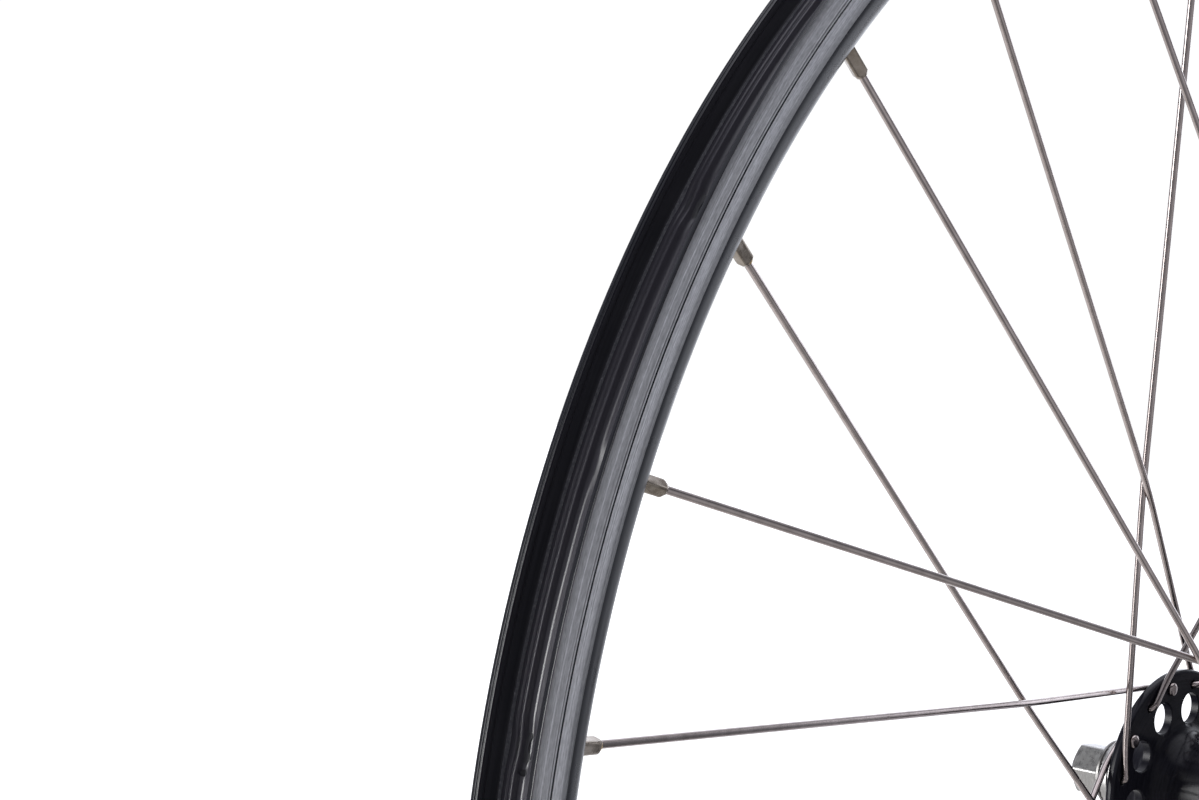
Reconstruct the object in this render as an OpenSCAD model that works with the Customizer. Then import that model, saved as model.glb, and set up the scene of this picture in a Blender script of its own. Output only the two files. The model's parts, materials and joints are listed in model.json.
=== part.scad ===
/* [Rim] */
// Outside diameter of the rim
rim_d = 634; // [630:0.5:640]
// Width over the two machined sidewalls
rim_w = 18.5; // [18:0.1:20]
// Radial height of the machined braking track
track_h = 10; // [9.5:0.1:10.2]
// Diameter of the hole for the valve
valve_hole_d = 6.5; // [6.5:0.1:8.5]

/* [Spokes] */
// Number of spokes, half of them on each flange
spoke_count = 32; // [32]
// Diameter of a spoke
spoke_d = 2.0; // [1.8:0.1:2.1]
// Distance across a nipple's flats
nipple_af = 3.3; // [3.2:0.05:3.4]

/* [Hub] */
// Distance from the middle plane to the middle of a flange
flange_y = 34.5; // [34:0.1:35]
// Outside diameter of a flange
flange_d = 73; // [72:0.5:76]
// Diameter of the circle of spoke holes
spoke_circle_d = 64; // [63:0.5:65]
// Number of lightening holes in a flange
window_count = 10; // [6:1:12]
// Diameter of a lightening hole
window_d = 9.8; // [7:0.1:10]

/* [Axle] */
// Distance over the outer faces of the two locknuts
over_locknut = 110; // [108:1:114]
// Whole length of the axle
axle_length = 140; // [138:1:146]
// Diameter of the threaded axle
thread_d = 9; // [8.5:0.5:9]
// Distance across the flats of an axle nut
nut_af = 15; // [14:1:17]

/* [Hidden] */
$fn = 64;

left = 1;
right = -1;
trailing = -1;
leading = 1;
slit = 0.05; // gap between pieces that lie against each other

// Rim: a hooked channel for the tyre over a rounded hollow box
rim_r = rim_d / 2;
half_w = rim_w / 2;
track_r = rim_r - track_h;
belly_r = 9;
belly_c = track_r + 0.6;
bed_r = belly_c - belly_r;
wear_groove_r = rim_r - 5.4;
wear_groove = 0.3;
well_r = rim_r - 8.7;
seat_r = rim_r - 6.2;
hook_y = half_w - 1.9;
wall_y = half_w - 1.4;
well_y = 3;
seat_y = 4.9;
box_r = well_r - 1.5;
box_wall = 1.8;
tape_t = 0.5;
tape_y = wall_y - 1.45;
access_hole_d = 8;
tape_hole_d = valve_hole_d + 0.5;
sleeve_half_angle = 4.2;

// Lacing: every spoke crosses three others, and is woven at the outermost crossing
spoke_r = spoke_d / 2;
pitch_angle = 360 / spoke_count;
lace_angle = 6 * pitch_angle;
first_nipple = 90 + 7.5 * pitch_angle;
spoke_circle_r = spoke_circle_d / 2;
nipple_r = bed_r - 5.5;
nipple_y = 0.6;
hole_chord = spoke_circle_r * sin(lace_angle - pitch_angle);
rim_chord = nipple_r * sin(pitch_angle);
cross_share = hole_chord / (hole_chord + rim_chord);
cross_r = (1 - cross_share) * spoke_circle_r * cos(lace_angle - pitch_angle)
    + cross_share * nipple_r * cos(pitch_angle);
cross_y = (1 - cross_share) * flange_y + cross_share * nipple_y;
weave = spoke_r + slit;
elbow_r = 1.1;
bend_r = 1.2;
flange_run = 10;
head_r = 2.1;
head_h = 1.2;

// Nipples
nipple_shank_r = 2.0;
nipple_bore_r = spoke_r + 0.04;
nipple_head_r = 2.8;
nipple_below = 3;
nipple_above = 8.6;
nipple_flats = 7.2;
nipple_hole_r = 2.15;

// Hub shell
flange_t = 3;
flange_r = flange_d / 2;
flange_edge = 1;
window_r = 24.6;
window_start = 11.45;
spoke_hole_r = 1.3;
barrel_r = 13.8;
barrel_bore_r = 11;
boss_r = 15.5;
boss_y = 47;

// Cartridge bearings, 10 x 26 x 8
bearing_y = 42;
bearing_w = 8;
bearing_r = 13;
bearing_bore_r = 5;
ball_r = 2.38;
ball_circle_r = 9;
ball_count = 7;
ball_gap = 0.03;
race_in_r = 7.4;
race_out_r = 10.6;
cage_half_w = 2.8;
cage_half_t = 0.6;
seal_t = 0.7;
seal_in = 0.1;

// Axle and what is threaded on it
thread_r = thread_d / 2;
thread_gap = 0.05;
shoulder_r = 6;
locknut_y = over_locknut / 2;
locknut_r = 10.8;
locknut_h = 6;
spacer_r = 6.8;
washer_r = 10.5;
washer_t = 2;
nut_h = 10.45;
nut_y = locknut_y + slit + washer_t + slit;

// Lays a profile drawn as [radius, distance along the axle] round the axle
module turned() { rotate([-90, 0, 0]) rotate_extrude($fn = 96) children(); }
module turned_fine() { rotate([-90, 0, 0]) rotate_extrude($fn = 288) children(); }

// A cylinder along the axle, from y0 to y1
module along_axle(r, y0, y1) { translate([0, y0, 0]) rotate([-90, 0, 0]) cylinder(r = r, h = y1 - y0); }

// Turns a child from +X to an angle counted from +X towards +Z
module at_angle(a) { rotate([0, -a, 0]) children(); }

// Mirrors a child that is drawn on the left side
module on_side(side) { mirror([0, side == right ? 1 : 0, 0]) children(); }

function polar(r, a, y) = [r * cos(a), y, r * sin(a)];

// A cylinder from one point to another, that stops short of both ends
module rod(p, q, r, short = 0.15) {
    v = q - p;
    l = norm(v);
    translate(p)
        rotate([0, acos(v.z / l), atan2(v.y, v.x)])
        translate([0, 0, short])
        cylinder(r = r, h = l - 2 * short, $fn = 24);
}

// Tyre side of the rim, from the middle of the well to the outer edge of the hook
function channel() = [
    [well_r, well_y], [seat_r, seat_y], [seat_r, wall_y], [rim_r - 2.5, wall_y],
    [rim_r - 1.9, hook_y], [rim_r - 0.7, hook_y], [rim_r, hook_y + 0.6], [rim_r, half_w - 0.3],
    [rim_r - 0.3, half_w], [wear_groove_r + wear_groove, half_w],
    [wear_groove_r, half_w - wear_groove], [wear_groove_r - wear_groove, half_w], [track_r, half_w]];

function mirrored(points) =
    [for (i = [len(points) - 1:-1:0]) [points[i].x, -points[i].y]];

// The part of a round section that lies inside a radius
module belly(r, top) {
    intersection() {
        translate([belly_c, 0]) circle(r = r, $fn = 96);
        translate([belly_c - 2 * r, -2 * r]) square([top - belly_c + 2 * r, 4 * r]);
    }
}

module rim_section() {
    difference() {
        union() {
            polygon(concat(mirrored(channel()), channel()));
            belly(belly_r, track_r + 0.5);
        }
        belly(belly_r - box_wall, box_r);
    }
}

// Direction of the spoke where it meets the rim
function spoke_side(i) = i % 2 == 0 ? left : right;
function spoke_lean(i) = i % 4 < 2 ? trailing : leading;
function nipple_angle(i) = first_nipple - i * pitch_angle;
// Trailing spokes run outside the flange and dive inside at the crossing
function woven_y(i) = spoke_side(i) * (cross_y + spoke_lean(i) * weave);
function cross_point(i) = polar(cross_r, nipple_angle(i) + spoke_lean(i) * pitch_angle, woven_y(i));
function nipple_point(i) = polar(nipple_r, nipple_angle(i), spoke_side(i) * nipple_y);
function rim_dir(i) = (nipple_point(i) - cross_point(i)) / norm(nipple_point(i) - cross_point(i));

module along_spoke_at_rim(i) {
    v = rim_dir(i);
    translate(nipple_point(i)) rotate([0, acos(v.z), atan2(v.y, v.x)]) children();
}

module rim() {
    color("#26262a") difference() {
        turned_fine() rim_section();
        for (i = [0:spoke_count - 1]) along_spoke_at_rim(i) {
            cylinder(r = nipple_hole_r, h = 10, $fn = 32);
            translate([0, 0, 10]) cylinder(d = access_hole_d, h = 10);
        }
        at_angle(90) translate([bed_r - 4, 0, 0]) rotate([0, 90, 0]) cylinder(d = valve_hole_d, h = 20);
    }
}

module rim_sleeve() {
    color("silver") rotate([-90, 0, 0]) rotate([0, 0, 90 - sleeve_half_angle])
        rotate_extrude(angle = 2 * sleeve_half_angle, $fn = 288)
        difference() {
            belly(belly_r - box_wall - 0.1, box_r - 0.1);
            belly(belly_r - 2 * box_wall, box_r - box_wall);
        }
}

module rim_tape() {
    low = [[well_r + slit, well_y - slit], [seat_r + slit, seat_y - slit], [seat_r + slit, tape_y]];
    high = [for (p = low) [p.x + tape_t, p.y - (p.y == tape_y ? 0 : 0.2)]];
    half = concat([for (i = [2:-1:0]) high[i]]);
    color("#0c0c0e") difference() {
        turned_fine() polygon(concat(mirrored(low), low, half, [for (i = [2:-1:0]) [half[i].x, -half[i].y]]));
        at_angle(90) translate([bed_r - 4, 0, 0]) rotate([0, 90, 0]) cylinder(d = tape_hole_d, h = 20);
    }
}

module spoke(i) {
    side = spoke_side(i);
    lean = spoke_lean(i);
    out = -lean;
    y_run = side * (flange_y + out * (flange_t / 2 + elbow_r + slit));
    y_head = side * (flange_y - out * (flange_t / 2 + slit));
    hub_angle = nipple_angle(i) + lean * lace_angle;
    hole = polar(spoke_circle_r, hub_angle, y_run);
    far = cross_point(i);
    flat_way = [far.x - hole.x, 0, far.z - hole.z];
    edge = hole + flange_run * flat_way / norm(flat_way);
    tip = nipple_point(i) + 7 * rim_dir(i);
    rod(hole, polar(spoke_circle_r, hub_angle, y_head - side * out * head_h / 2), elbow_r);
    translate(polar(spoke_circle_r, hub_angle, y_head)) rotate([side * out * 90, 0, 0])
        cylinder(r1 = head_r, r2 = head_r - 0.4, h = head_h, $fn = 24);
    rod(hole, edge, spoke_r);
    rod(edge, far, spoke_r);
    rod(far, tip, spoke_r);
    translate(hole) sphere(r = bend_r, $fn = 24);
    for (p = [edge, far]) translate(p) sphere(r = spoke_r + 0.03, $fn = 24);
}

module spokes(side, lean) {
    color("#b9b6b2")
        for (i = [0:spoke_count - 1]) if (spoke_side(i) == side && spoke_lean(i) == lean) spoke(i);
}

module nipple() {
    difference() {
        union() {
            translate([0, 0, -nipple_below]) intersection() {
                cylinder(r = nipple_shank_r, h = nipple_flats, $fn = 32);
                translate([-nipple_af / 2, -nipple_af / 2, 0]) cube([nipple_af, nipple_af, nipple_flats]);
            }
            translate([0, 0, nipple_flats - nipple_below]) cylinder(r = nipple_shank_r, h = 4.4, $fn = 32);
            translate([0, 0, nipple_above]) cylinder(r1 = nipple_shank_r, r2 = nipple_head_r, h = 0.8, $fn = 32);
            translate([0, 0, nipple_above + 0.8]) cylinder(r = nipple_head_r, h = 1.4, $fn = 32);
        }
        translate([0, 0, -nipple_below - 1]) cylinder(r = nipple_bore_r, h = 20, $fn = 24);
    }
}

module nipples(side) {
    color("#a89c86")
        for (i = [0:spoke_count - 1]) if (spoke_side(i) == side) along_spoke_at_rim(i) nipple();
}

function half_hub() = [
    [barrel_r, 0], [barrel_r, 24], [barrel_r + 0.8, 28], [barrel_r + 3.2, 31.5],
    [barrel_r + 6, flange_y - flange_t / 2], [flange_r - flange_edge, flange_y - flange_t / 2],
    [flange_r - 0.3 * flange_edge, flange_y - 1.2], [flange_r, flange_y - 0.5],
    [flange_r, flange_y + 0.5], [flange_r - 0.3 * flange_edge, flange_y + 1.2],
    [flange_r - flange_edge, flange_y + flange_t / 2], [boss_r + 2, flange_y + flange_t / 2],
    [boss_r, flange_y + 4], [boss_r, boss_y - 0.8], [boss_r - 0.8, boss_y], [bearing_r, boss_y],
    [bearing_r, bearing_y - bearing_w / 2], [barrel_bore_r, bearing_y - bearing_w / 2], [barrel_bore_r, 0]];

module hub_shell() {
    whole = concat(half_hub(), mirrored([for (i = [1:len(half_hub()) - 2]) half_hub()[i]]));
    color("#141416") difference() {
        turned() polygon(whole);
        for (k = [0:window_count - 1]) at_angle(window_start + 360 * k / window_count)
            for (side = [left, right]) translate([window_r, side * flange_y - 3, 0])
                rotate([-90, 0, 0]) cylinder(d = window_d, h = 6);
        for (i = [0:spoke_count - 1])
            translate(polar(spoke_circle_r, nipple_angle(i) + spoke_lean(i) * lace_angle, spoke_side(i) * flange_y - 3))
            rotate([-90, 0, 0]) cylinder(r = spoke_hole_r, h = 6, $fn = 24);
    }
}

module ring(r_in, r_out, y0, y1) {
    turned() translate([r_in, y0]) square([r_out - r_in, y1 - y0]);
}

module race() {
    turned() translate([ball_circle_r, bearing_y]) circle(r = ball_r + ball_gap, $fn = 48);
}

module bearing_outer_ring(side) {
    color("#c8c8cc") on_side(side) difference() {
        ring(race_out_r, bearing_r, bearing_y - bearing_w / 2, bearing_y + bearing_w / 2);
        race();
    }
}

module bearing_inner_ring(side) {
    color("#c8c8cc") on_side(side) difference() {
        ring(bearing_bore_r, race_in_r, bearing_y - bearing_w / 2, bearing_y + bearing_w / 2);
        race();
    }
}

module bearing_balls(side) {
    color("#e6e6ea") on_side(side)
        for (k = [0:ball_count - 1]) translate(polar(ball_circle_r, 360 * k / ball_count, bearing_y)) sphere(r = ball_r);
}

module bearing_cage(side) {
    color("#3a2a20") on_side(side) difference() {
        ring(ball_circle_r - cage_half_t, ball_circle_r + cage_half_t, bearing_y - cage_half_w, bearing_y + cage_half_w);
        for (k = [0:ball_count - 1]) at_angle(360 * k / ball_count) translate([ball_circle_r - 2, bearing_y, 0])
            rotate([0, 90, 0]) cylinder(r = ball_r + 3 * ball_gap, h = 4);
    }
}

module bearing_seals(side) {
    color("#101012") on_side(side) {
        for (y = [bearing_y - bearing_w / 2 + seal_in, bearing_y + bearing_w / 2 - seal_in - seal_t])
            ring(race_in_r + slit, race_out_r - 0.02, y, y + seal_t);
    }
}

module dust_cap(side) {
    color("#1a1a1c") on_side(side) union() {
        ring(bearing_r - 1.5, bearing_r - 0.02, bearing_y + bearing_w / 2 + 0.02, boss_y + slit);
        ring(spacer_r + 0.3, boss_r - 0.8, boss_y + slit, boss_y + 1);
    }
}

module bearing_spacer(side) {
    color("silver") on_side(side)
        ring(thread_r + thread_gap, spacer_r, bearing_y + bearing_w / 2 + 0.02, locknut_y - locknut_h - 0.02);
}

module locknut(side) {
    color("#a8a8ac") on_side(side) turned() polygon([
        [thread_r + thread_gap, locknut_y - locknut_h], [locknut_r - 1, locknut_y - locknut_h],
        [locknut_r, locknut_y - locknut_h + 1], [locknut_r, locknut_y - 0.5],
        [locknut_r - 0.5, locknut_y], [thread_r + thread_gap, locknut_y]]);
}

module serrated_washer(side) {
    color("#8e8c8a") on_side(side)
        ring(thread_r + thread_gap, washer_r, locknut_y + slit, locknut_y + slit + washer_t);
}

module axle_nut(side) {
    color("#bcbcc0") on_side(side) difference() {
        translate([0, nut_y, 0]) rotate([-90, 0, 0]) cylinder(r = nut_af / 2 / cos(30), h = nut_h, $fn = 6);
        along_axle(thread_r + thread_gap, nut_y - 1, nut_y + nut_h + 1);
    }
}

module axle() {
    end = axle_length / 2;
    step = bearing_y - bearing_w / 2;
    seat_end = bearing_y + bearing_w / 2;
    half = [[shoulder_r, step - 0.02], [bearing_bore_r - 0.01, step - 0.02], [bearing_bore_r - 0.01, seat_end],
        [thread_r, seat_end], [thread_r, end - 0.6], [thread_r - 0.6, end]];
    color("#b0b0b4") turned() polygon(concat([[0, -end]], mirrored(half), half, [[0, end]]));
}

rim();
rim_sleeve();
rim_tape();
hub_shell();
spokes(left, trailing);  // spokes_left_trailing
spokes(left, leading);  // spokes_left_leading
spokes(right, trailing);  // spokes_right_trailing
spokes(right, leading);  // spokes_right_leading
nipples(left);  // nipples_left
nipples(right);  // nipples_right
axle();
bearing_outer_ring(left);  // bearing_outer_ring_left
bearing_outer_ring(right);  // bearing_outer_ring_right
bearing_inner_ring(left);  // bearing_inner_ring_left
bearing_inner_ring(right);  // bearing_inner_ring_right
bearing_balls(left);  // bearing_balls_left
bearing_balls(right);  // bearing_balls_right
bearing_cage(left);  // bearing_cage_left
bearing_cage(right);  // bearing_cage_right
bearing_seals(left);  // bearing_seals_left
bearing_seals(right);  // bearing_seals_right
dust_cap(left);  // dust_cap_left
dust_cap(right);  // dust_cap_right
bearing_spacer(left);  // bearing_spacer_left
bearing_spacer(right);  // bearing_spacer_right
locknut(left);  // locknut_left
locknut(right);  // locknut_right
serrated_washer(left);  // serrated_washer_left
serrated_washer(right);  // serrated_washer_right
axle_nut(left);  // axle_nut_left
axle_nut(right);  // axle_nut_right
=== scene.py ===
"""A bicycle wheel without its tyre, on a white floor: detailed pieces and materials round the CAD frame."""

import json
import math

import bmesh
import bpy
import numpy as np
from mathutils import Euler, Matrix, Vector


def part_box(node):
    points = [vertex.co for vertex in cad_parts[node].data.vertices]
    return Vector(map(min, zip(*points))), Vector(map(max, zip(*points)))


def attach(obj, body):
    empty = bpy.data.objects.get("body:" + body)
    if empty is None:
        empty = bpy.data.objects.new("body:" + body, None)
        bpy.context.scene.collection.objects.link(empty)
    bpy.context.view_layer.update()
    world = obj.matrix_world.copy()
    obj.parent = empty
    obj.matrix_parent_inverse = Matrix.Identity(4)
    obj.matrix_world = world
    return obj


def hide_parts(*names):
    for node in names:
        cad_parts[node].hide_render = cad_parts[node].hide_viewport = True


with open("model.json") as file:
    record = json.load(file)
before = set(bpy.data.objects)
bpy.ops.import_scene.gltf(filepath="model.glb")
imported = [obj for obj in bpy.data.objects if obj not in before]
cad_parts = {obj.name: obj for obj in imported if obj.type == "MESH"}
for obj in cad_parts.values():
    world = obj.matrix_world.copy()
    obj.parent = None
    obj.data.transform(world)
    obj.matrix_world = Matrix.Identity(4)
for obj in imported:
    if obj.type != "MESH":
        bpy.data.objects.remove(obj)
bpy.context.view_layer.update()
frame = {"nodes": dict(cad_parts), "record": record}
MM = 0.001


# ---------------------------------------------------------------- sizes in mm, from the frame
def reach(node, axis, places=1):
    """How far a CAD node reaches along an axis, in mm."""
    return round(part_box(node)[1][axis] / MM, places)


MOUNTS = {m["name"]: m for m in frame["record"]["mounts"]}
RIM_R = reach("rim", 0)
HALF_W = round(MOUNTS["brake_track_left"]["pos_m"][1] / MM, 2)
VALVE_R = MOUNTS["valve_hole"]["dims"]["r_mm"]
THREAD_R = MOUNTS["fork_end_left"]["dims"]["r_mm"]
FLANGE_R = reach("hub_shell", 0)
BOSS_Y = reach("hub_shell", 1)
AXLE_END = reach("axle", 1)
NUT_END = reach("axle_nut_left", 1, 2)
NUT_START = round(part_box("axle_nut_left")[0].y / MM, 2)
WASHER_START = round(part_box("serrated_washer_left")[0].y / MM, 2)
WASHER_END = reach("serrated_washer_left", 1, 2)
WASHER_R = reach("serrated_washer_left", 0)
LOCKNUT_START = round(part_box("locknut_left")[0].y / MM, 2)
LOCKNUT_END = reach("locknut_left", 1, 2)
LOCKNUT_R = reach("locknut_left", 0)

# Rim section
TRACK_R = RIM_R - 10
BELLY_R = 9.0
BELLY_C = TRACK_R + 0.6
BED_R = BELLY_C - BELLY_R
BOX_WALL = 1.8
GROOVE_R = RIM_R - 5.4
WELL_R = RIM_R - 8.7
SEAT_R = RIM_R - 6.2
WALL_Y = HALF_W - 1.4
HOOK_Y = HALF_W - 1.9
WELL_Y = 2.9
SEAT_Y = 4.9
ACCESS_R = 4.0

# Lacing
SPOKES = 32
PITCH = 360 / SPOKES
LACE = 6 * PITCH
FIRST = 90 + 7.5 * PITCH
SPOKE_R = 1.0
ELBOW_GAP = 1.15
SPOKE_CIRCLE = 32.0
FLANGE_Y = 34.5
FLANGE_T = 3.0
NIPPLE_R = BED_R - 5.5
NIPPLE_Y = 0.6
HOLE_CHORD = SPOKE_CIRCLE * math.sin(math.radians(LACE - PITCH))
RIM_CHORD = NIPPLE_R * math.sin(math.radians(PITCH))
CROSS_SHARE = HOLE_CHORD / (HOLE_CHORD + RIM_CHORD)
HOLE_REACH = SPOKE_CIRCLE * math.cos(math.radians(LACE - PITCH))
NIPPLE_REACH = NIPPLE_R * math.cos(math.radians(PITCH))
CROSS_R = (1 - CROSS_SHARE) * HOLE_REACH + CROSS_SHARE * NIPPLE_REACH
CROSS_Y = (1 - CROSS_SHARE) * FLANGE_Y + CROSS_SHARE * NIPPLE_Y
WEAVE = SPOKE_R + 0.05
FLANGE_RUN = 10.0
INTO_NIPPLE = 7
LEFT, RIGHT = 1, -1
TRAILING, LEADING = -1, 1
AXLE_WAY = np.array([0.0, 1.0, 0.0])
NEAR_AXLE = 0.001  # a closed profile starts this far off the axle


# ---------------------------------------------------------------- mesh helpers, all in mm
def polar(r, angle, y):
    """The point at a radius and an angle in degrees, from +X towards +Z."""
    a = math.radians(angle)
    return np.array([r * math.cos(a), y, r * math.sin(a)])


UP = polar(1, 90, 0)


def unit(v):
    return v / np.linalg.norm(v)


def bend(a, corner, b, steps):
    """Points on the curve from a to b that a corner pulls out."""
    shares = [k / steps for k in range(steps + 1)]
    return [(1 - t) ** 2 * a + 2 * t * (1 - t) * corner + t * t * b for t in shares]


def rounded(corners, steps=5, closed=True):
    """An outline whose corners (x, y, fillet) become curves that start a fillet's length away, where it fits."""
    pts = [np.array(c[:2], float) for c in corners]
    out = []
    for i, (corner, c) in enumerate(zip(corners, pts)):
        fillet = corner[2] if len(corner) > 2 else 0
        if fillet == 0 or (not closed and i in (0, len(pts) - 1)):
            out.append(c)
            continue
        before, after = pts[i - 1], pts[(i + 1) % len(pts)]
        a = c + unit(before - c) * min(fillet, 0.45 * np.linalg.norm(before - c))
        b = c + unit(after - c) * min(fillet, 0.45 * np.linalg.norm(after - c))
        out += bend(a, c, b, steps)
    return out


def mirrored(points):
    """The other side's half of a profile, in the order that carries on round it."""
    return [np.array([p[0], -p[1]]) for p in reversed(points)]


def ring_faces(rows, columns, wrap_rows=True):
    """Quads between rows of points. Each row is a closed ring."""
    i = np.arange(rows if wrap_rows else rows - 1)[:, None]
    j = np.arange(columns)[None, :]
    i2, j2 = (i + 1) % rows, (j + 1) % columns
    quads = np.stack([i * columns + j, i * columns + j2, i2 * columns + j2, i2 * columns + j], -1)
    return quads.reshape(-1, 4).tolist()


def lathe(profile, steps, radius_change=None, side_change=None):
    """Rings of a closed profile (radius, y) round the axle: (vertices, faces)."""
    p = np.array(profile, float)
    angle = np.arange(steps) * 2 * math.pi / steps
    r = np.repeat(p[None, :, 0], steps, 0)
    y = np.repeat(p[None, :, 1], steps, 0)
    turns = np.repeat(angle[:, None], len(p), 1)
    if radius_change:
        r = r + radius_change(turns, r, y)
    if side_change:
        y = y + side_change(turns, r, y)
    verts = np.stack([r * np.cos(turns), y, r * np.sin(turns)], -1).reshape(-1, 3)
    return verts, ring_faces(steps, len(p))


def frame_at(direction):
    """Two unit vectors across a direction."""
    d = unit(direction)
    side = unit(np.cross(d, [0.0, 1.0, 0.0] if abs(d[1]) < 0.9 else [1.0, 0.0, 0.0]))
    return side, np.cross(d, side)


def swept(path, radii, sides):
    """A closed tube along points, with a radius at each: (vertices, faces)."""
    path = [np.array(p, float) for p in path]
    rings = []
    across, _ = frame_at(path[1] - path[0])
    for k, p in enumerate(path):
        ahead = unit(path[min(k + 1, len(path) - 1)] - path[max(k - 1, 0)])
        across = unit(across - ahead * np.dot(across, ahead))
        other = np.cross(ahead, across)
        a = np.arange(sides) * 2 * math.pi / sides
        rings.append(p + radii[k] * (np.cos(a)[:, None] * across + np.sin(a)[:, None] * other))
    verts = np.concatenate(rings)
    faces = ring_faces(len(path), sides, wrap_rows=False)
    last = len(verts) - sides
    faces += [list(range(sides)), list(range(last, last + sides))[::-1]]
    return verts, faces


def joined(parts):
    """Several (vertices, faces) as one."""
    verts, faces, base = [], [], 0
    for v, f in parts:
        verts.append(np.asarray(v))
        faces += [[n + base for n in face] for face in f]
        base += len(v)
    return np.concatenate(verts), faces


def placed(part, origin, direction, twist=0.0):
    """A part drawn along +Z, moved to origin and turned along direction."""
    verts, faces = part
    d = unit(direction)
    side, other = frame_at(d)
    c, s = math.cos(twist), math.sin(twist)
    x, y = c * side + s * other, -s * side + c * other
    return origin + verts[:, :1] * x + verts[:, 1:2] * y + verts[:, 2:] * d, faces


def spun(profile, steps):
    """A closed profile (radius, height) turned round +Z, for a part that is placed later."""
    verts, faces = lathe(profile, steps)
    return np.stack([verts[:, 0], verts[:, 2], verts[:, 1]], -1), faces


def piece(name, part, materials, pick=None, sharp=35):
    """A mesh object in metres, with outward normals and smooth shading up to an angle."""
    verts, faces = part
    mesh = bpy.data.meshes.new(name)
    mesh.from_pydata((np.asarray(verts) * MM).tolist(), [], faces)
    for m in materials:
        mesh.materials.append(m)
    bm = bmesh.new()
    bm.from_mesh(mesh)
    bmesh.ops.recalc_face_normals(bm, faces=bm.faces)
    bm.to_mesh(mesh)
    bm.free()
    obj = bpy.data.objects.new(name, mesh)
    bpy.context.scene.collection.objects.link(obj)
    finish_mesh(obj, pick, sharp)
    return obj


def finish_mesh(obj, pick=None, sharp=35):
    mesh = obj.data
    if pick:
        for poly in mesh.polygons:
            poly.material_index = pick(poly.center / MM, poly.normal)
    mesh.shade_smooth()
    mesh.set_sharp_from_angle(angle=math.radians(sharp))


def boolean(obj, cutter, how="DIFFERENCE"):
    """Cuts obj with another object, which is then removed."""
    mod = obj.modifiers.new("cut", "BOOLEAN")
    mod.operation = how
    mod.solver = "MANIFOLD"
    mod.object = cutter
    evaluated = obj.evaluated_get(bpy.context.evaluated_depsgraph_get())
    mesh = bpy.data.meshes.new_from_object(evaluated)
    obj.modifiers.clear()
    old = obj.data
    obj.data = mesh
    bpy.data.meshes.remove(old)
    bpy.data.objects.remove(cutter)


def on_left(part):
    return part


def on_right(part):
    verts, faces = part
    return verts * [1, -1, 1], [face[::-1] for face in faces]


SIDES = {"left": on_left, "right": on_right}


# ---------------------------------------------------------------- materials
class Material:
    """A Principled material with a few short ways to add procedural nodes."""

    def __init__(self, name, colour, metallic=0.0, roughness=0.4, **sockets):
        self.material = bpy.data.materials.new(name)
        self.material.use_nodes = True
        self.nodes = self.material.node_tree.nodes
        self.links = self.material.node_tree.links
        self.shader = self.nodes["Principled BSDF"]
        self.set(self.shader, Base_Color=(*colour, 1), Metallic=metallic, Roughness=roughness, **sockets)

    def set(self, node, **values):
        for key, value in values.items():
            node.inputs[key.replace("_", " ")].default_value = value
        return node

    def node(self, kind, **settings):
        n = self.nodes.new(kind)
        for key, value in settings.items():
            setattr(n, key, value)
        return n

    def wire(self, source, target):
        self.links.new(source, target)

    def math(self, operation, a, b=None):
        n = self.node("ShaderNodeMath", operation=operation)
        for socket, value in zip(n.inputs, (a, b)):
            if value is None:
                continue
            if isinstance(value, (int, float)):
                socket.default_value = value
            else:
                self.wire(value, socket)
        return n.outputs[0]

    def place(self):
        return self.node("ShaderNodeTexCoord").outputs["Object"]

    def split(self):
        """The three coordinates, and the distance from the axle."""
        n = self.node("ShaderNodeSeparateXYZ")
        self.wire(self.place(), n.inputs[0])
        x, y, z = n.outputs
        square = self.math("ADD", self.math("MULTIPLY", x, x), self.math("MULTIPLY", z, z))
        return x, y, z, self.math("SQRT", square)

    def height(self, low, high):
        """0 to 1 between two radii in mm."""
        n = self.set(self.node("ShaderNodeMapRange"), From_Min=low * MM, From_Max=high * MM)
        self.wire(self.split()[3], n.inputs["Value"])
        return n.outputs[0]

    def round_the_axle(self, across, along):
        """Coordinates that follow the rim: radius and side finely, the way round coarsely."""
        x, y, z, radius = self.split()
        angle = self.math("ARCTAN2", z, x)
        join = self.node("ShaderNodeCombineXYZ")
        self.wire(self.math("MULTIPLY", radius, across), join.inputs[0])
        self.wire(self.math("MULTIPLY", angle, along), join.inputs[1])
        self.wire(self.math("MULTIPLY", y, across), join.inputs[2])
        return join.outputs[0]

    def noise(self, scale, where=None, detail=3.0, roughness=0.55):
        n = self.set(self.node("ShaderNodeTexNoise"), Scale=scale, Detail=detail, Roughness=roughness)
        self.wire(where or self.place(), n.inputs["Vector"])
        return n.outputs["Fac"]

    def ramp(self, value, stops):
        n = self.node("ShaderNodeValToRGB")
        elements = n.color_ramp.elements
        while len(elements) < len(stops):
            elements.new(0.5)
        for element, (at, shade) in zip(elements, stops):
            element.position = at
            element.color = (*shade, 1) if isinstance(shade, tuple) else (shade, shade, shade, 1)
        self.wire(value, n.inputs[0])
        return n.outputs[0]

    def product(self, a, b):
        n = self.node("ShaderNodeMix", data_type="RGBA", blend_type="MULTIPLY")
        n.inputs[0].default_value = 1
        self.wire(a, n.inputs[6])
        self.wire(b, n.inputs[7])
        return n.outputs[2]

    def colour(self, source):
        self.wire(source, self.shader.inputs["Base Color"])

    def roughness(self, source):
        self.wire(source, self.shader.inputs["Roughness"])

    def bump(self, height, distance, strength=1.0):
        n = self.set(self.node("ShaderNodeBump"), Strength=strength, Distance=distance)
        self.wire(height, n.inputs["Height"])
        self.wire(n.outputs[0], self.shader.inputs["Normal"])


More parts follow.
